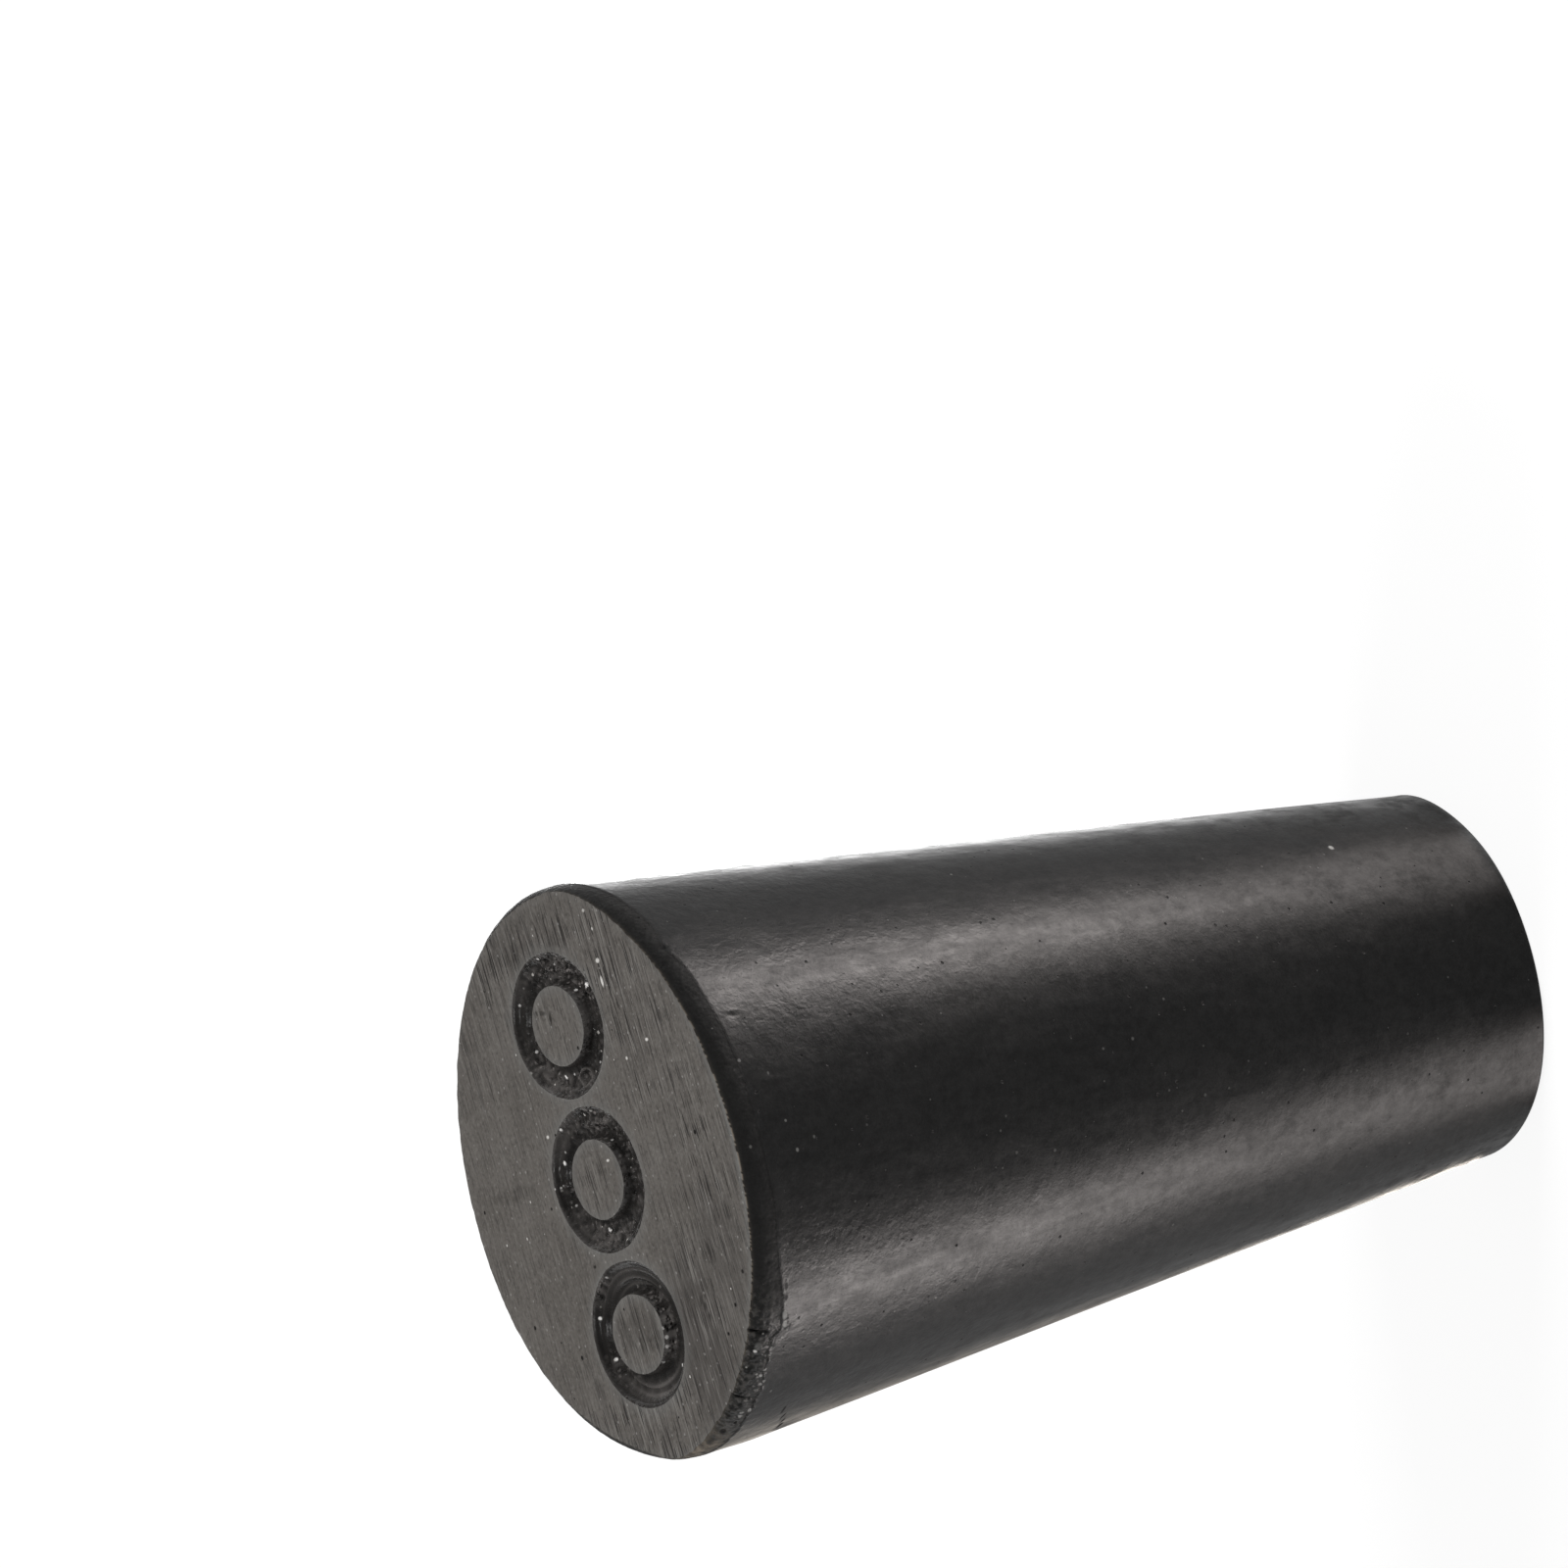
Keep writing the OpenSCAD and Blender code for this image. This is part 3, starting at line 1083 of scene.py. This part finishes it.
colour = painted(
    varied(weave, (0.034, 0.030, 0.026), (0.058, 0.052, 0.045), 0.35, 0.65),
    (times(between(cloud, 0.35, 0.7), 0.5), 0.040, 0.036, 0.032),
    (times(wear_and_light, 0.5), 0.12, 0.115, 0.105),
    (specks(place, 1.3, 0.045, 0.25), 0.4, 0.39, 0.37),
)
roughness = between(weave, 0.3, 0.7, 0.78, 0.64)
relief = embossed((weave, 0.012))
finish_material(foot, colour, roughness, relief)

# %% [markdown]
# ## In the solid's place
# The finished skin takes the place of the engineering solid, which goes on
# serving contacts unseen. It moves with the same body.

# %% Put the stopper in the solid's place
for material in (moulded, ground, pressed, foot):
    skin.materials.append(material)
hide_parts("stopper")
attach(stopper, "root")
print("finishes:", [material.name for material in skin.materials])

# %% [markdown]
# ## The camera
# The plug is seen from the front and above, down on its large end, through a
# long lens. The camera is rolled a little past a quarter turn, so that the plug
# lies across the picture with its large end to the left. Three directions fix
# it: back from the object, up and right. An aim constraint leaves no room for
# the roll.

# %% Place the camera
aim = Vector((7.304, -0.421, 14.817)) * MM
camera_azimuth, camera_elevation, camera_roll = map(math.radians, (-93.299, 28.936, 103.092))
camera_distance = 452.36 * MM



def toward(azimuth, elevation):
    """A step of length 1 in this direction."""
    return Vector((math.cos(elevation) * math.cos(azimuth),
                   math.cos(elevation) * math.sin(azimuth), math.sin(elevation)))


back = toward(camera_azimuth, camera_elevation)
level_right = Vector((-math.sin(camera_azimuth), math.cos(camera_azimuth), 0))
level_up = back.cross(level_right)
up = math.cos(camera_roll) * level_up + math.sin(camera_roll) * level_right
right = up.cross(back)

lens = bpy.data.cameras.new("camera")
lens.sensor_width = 36
lens.lens = 483.76
lens.clip_start, lens.clip_end = 0.01, 5
camera = placed("camera", lens)
camera.matrix_world = Matrix.Translation(aim + back * camera_distance) @ Matrix(
    (right, up, back)).transposed().to_4x4()
bpy.context.scene.camera = camera
print("camera at", [round(value / MM, 1) for value in camera.location], "mm")

# %% [markdown]
# ## A white table
# In a studio, a small dark part often stands on a sheet of lit white glass. A
# white floor under strong lamps would look the same, but their light would grey
# the rubber. So the floor here is such a sheet: it receives the part's shadow
# and glows just enough for a clean white. The glow is for the camera and for
# anything that mirrors or lets through the table. It lights nothing.

# %% Make the floor
def flat_piece(name, points, height, panes=None):
    """A flat sheet in mm, part of the studio: one pane round the points, or several."""
    sheet = bpy.data.meshes.new(name)
    sheet.from_pydata([Vector((x, y, height)) * MM for x, y in points], [],
                      panes or [tuple(range(len(points)))])
    made = placed(name, sheet)
    return made


def seen_or_mirrored(tree):
    """1 for what the camera sees, straight or in gloss or through glass."""
    path = node("LightPath", tree=tree)
    mirrored = calc("MAXIMUM", path.outputs["Is Glossy Ray"],
                    path.outputs["Is Transmission Ray"])
    return calc("MAXIMUM", path.outputs["Is Camera Ray"], mirrored)


TABLE = 1500   # half of the table's width, in mm
floor = flat_piece("white_table", [(-TABLE, -TABLE), (TABLE, -TABLE), (TABLE, TABLE),
                                   (-TABLE, TABLE)], -0.01)
glass, tree = start_material("opal_glass")
tree.nodes.remove(tree.nodes["Principled BSDF"])
GLOW = 0.82    # brings the lit table just up to white
matte = node("BsdfDiffuse", {"Color": rgb(0.25, 0.25, 0.25)}, tree)
glow = node("Emission", {"Color": rgb(1, 1, 1),
                         "Strength": times(seen_or_mirrored(tree), GLOW)})
both = node("AddShader", {0: matte.outputs[0], 1: glow.outputs[0]})
tree.links.new(both.outputs[0], tree.nodes["Material Output"].inputs["Surface"])
floor.data.materials.append(glass)
print("table", 2 * TABLE, "mm square")

# %% [markdown]
# ## Cards beside the plug
# Gloss on a black part is only a mirror of what stands beside it. Grey cards
# lie round the part, so that its skin stays dark, and leave the back open, where
# the white table makes both edges bright. Of the four bars of light, two are
# mirrored as soft streaks along the skin, and two shape the back edges. Lamps
# could draw the streaks, but a sheet can fade along its length, as they do. All
# of these are seen by gloss alone: they neither show nor light the part.
#
# A line of sight that meets the skin is thrown back down to one spot of the
# table. The helper finds it, so each sheet is given by the angles that mirror it.

# %% Sheets for gloss alone
WHITE, WARM, AMBER = (1.0, 1.0, 1.0), (1.0, 0.935, 0.91), (1.0, 0.91, 0.81)


def only_mirrored(piece, tint=WHITE, level=None):
    """Makes the sheet shine for gloss alone, at this level or as its corners say."""
    shine, tree = start_material(piece.name)
    tree.nodes.remove(tree.nodes["Principled BSDF"])
    strength = value_of(tree, "level") if level is None else level
    glow = node("Emission", {"Color": rgb(*tint), "Strength": strength}, tree)
    tree.links.new(glow.outputs[0], tree.nodes["Material Output"].inputs["Surface"])
    piece.data.materials.append(shine)
    piece.visible_camera = piece.visible_diffuse = piece.visible_shadow = False
    piece.visible_transmission = False


def mirrored_at(degrees, height):
    """Where a look at the skin, mirrored there, meets the table, in mm."""
    angle = math.radians(degrees)
    normal = toward(angle, -math.atan(taper))
    ray = 2 * normal.dot(back) * normal - back
    spot = Vector((*polar(straight_radius(height), angle), height))
    return (spot - ray * (height / ray.z)).to_2d()


print("the middle of the skin mirrors", [round(v) for v in mirrored_at(-95, 10)], "mm")

# %% Lay the cards
STEPS = 12   # across a card or a bar
CARD_FROM, CARD_TO = 0.05, 150   # heights on the skin, or past it, that mirror a card


def card(name, first, last, above_table, level):
    """A plain sheet that is mirrored between two angles of the skin."""
    turns = [first + (last - first) * i / STEPS for i in range(STEPS + 1)]
    outline = [mirrored_at(turn, CARD_FROM) for turn in turns]
    outline += [mirrored_at(turn, CARD_TO) for turn in reversed(turns)]
    only_mirrored(flat_piece(name, outline, above_table), level=level)


card("grey_card", -170.5, -23.5, 0.02, 0.26)
card("pale_card_right", -52, -23.5, 0.03, 0.37)
card("pale_card_left", -170.5, -136, 0.03, 0.38)
print("card reaches", [round(value) for value in mirrored_at(-95, CARD_TO)], "mm")

# %% Lay the bars of light
SOFT_REACH = 1.3   # where a bar's soft edges end, in half widths


def bar(name, rows, edge_level, tint=WHITE):
    """A bar of light with soft edges, which fade to the level beside it.
    Each row: the height on the skin that mirrors it, the middle and half the
    width of the light there in degrees, and its level."""
    points, levels, panes = [], [], []
    for height, middle, half, level in rows:
        for i in range(STEPS + 1):
            off = SOFT_REACH * (2 * i / STEPS - 1)
            points.append(mirrored_at(middle + half * off, height))
            strong = 1 - ease(abs(off), 0.45, SOFT_REACH)
            levels.append(edge_level + (level - edge_level) * strong)
            last = len(points) - 1
            if i and last > STEPS:   # from the second row on
                panes.append((last - STEPS - 2, last - STEPS - 1, last, last - 1))
    sheet = flat_piece(name, points, 0.04, panes)
    values = sheet.data.attributes.new("level", "FLOAT", "POINT")
    values.data.foreach_set("value", levels)
    only_mirrored(sheet, tint)


bar("bar_right", [(0.05, -56.5, 13.0, 1.4), (2.5, -57.8, 11.5, 2.15), (5, -59.3, 8.1, 3.0),
                  (9, -60.4, 5.4, 4.6), (13, -60.6, 4.4, 11.0), (20, -60.2, 4.2, 8.2),
                  (40, -60.2, 4.2, 8.0)], 0.32, WARM)
bar("bar_left", [(0.05, -124.5, 13, 1.7), (2.5, -125, 11.2, 2.45), (5, -125.2, 9.2, 2.8),
                 (9, -126.2, 7.3, 3.6), (13, -126.7, 6.1, 4.8), (17, -127, 6.2, 6.7),
                 (40, -127, 6.2, 7.7)], 0.32, WARM)
bar("bar_back_right", [(3.5, -9.6, 8, 1.0), (6, -9.6, 8.2, 3.6), (9, -9.6, 8.0, 5.0),
                       (13, -9.8, 7.7, 7.5), (20, -8.8, 7.4, 14.0), (40, -8.8, 7.4, 14.0)],
    1.0)
bar("bar_back_left", [(0.5, -179, 9.2, 19.0), (3, -179.5, 7.8, 11.0), (6, -180, 6.8, 5.0),
                      (9, -179.5, 7.3, 1.8), (13, -179, 8.5, 0.8), (17, -179, 8.5, 0.85),
                      (20, -178.5, 10.5, 1.7), (40, -178.5, 10.5, 1.7)],
    1.0, AMBER)

# %% [markdown]
# ## Soft studio light
# Two broad lamps light the part from above, and the room, a pale tent with a
# dark roof, fills the shadows. The grooves mirror the roof and stay black. For
# the same reason the broad lamps are kept out of the gloss, as polarising sheets
# would do in a studio. One small lamp is seen by gloss alone and draws the
# sparks on grains and crumbs. A sun lamp would be simpler, but too hard.

# %% Hang the lamps
middle = Vector((0, 0, 0.5 * plug_length)) * MM


def lamp(name, turn, elevation, distance, size, power, for_gloss=False):
    """An area lamp. turn is its angle from the camera, round the plug."""
    away = toward(camera_azimuth + math.radians(turn), math.radians(elevation))
    data = bpy.data.lights.new(name, "AREA")
    data.shape = "RECTANGLE"
    data.size = data.size_y = size
    data.energy = power
    made = placed(name, data)
    made.location = middle + away * distance
    made.rotation_mode = "QUATERNION"
    made.rotation_quaternion = away.to_track_quat("Z", "Y")
    made.visible_camera = False
    made.visible_glossy, made.visible_diffuse = for_gloss, not for_gloss
    print(f"{name}: radiance {power / (math.pi * size * size):.2f}")


lamp("softbox_right", 72, 55, 0.5, 0.2, 1.3)
lamp("softbox_left", -120, 60, 0.5, 0.2, 0.95)
lamp("spark_lamp", -72, 65, 0.5, 0.03, 0.12, for_gloss=True)

# %% Pitch the tent
ROOM_LIGHT = 0.3                  # the level at which the room lights the part
WALL_TOP, ROOF_EDGE = 0.07, 0.24  # between these, white wall turns to dark roof
world = bpy.data.worlds.new("tent")
bpy.context.scene.world = world
world.use_nodes = True
tree = world.node_tree
background = tree.nodes["Background"]
background.inputs["Color"].default_value = rgb(1, 1, 1)
direction = node("SeparateXYZ", {0: node("TexCoord", tree=tree).outputs["Generated"]})
roof = between(direction.outputs["Z"], WALL_TOP, ROOF_EDGE, 1.0, 0.06)
tone = between(seen_or_mirrored(tree), 0, 1, ROOM_LIGHT, roof)
tree.links.new(tone, background.inputs["Strength"])
print("room:", ROOM_LIGHT, "with white walls")

# %% [markdown]
# ## The last step
# The standard view shows colours as they were written.

# %% Finish
bpy.context.scene.view_settings.view_transform = "Standard"
bpy.context.view_layer.update()
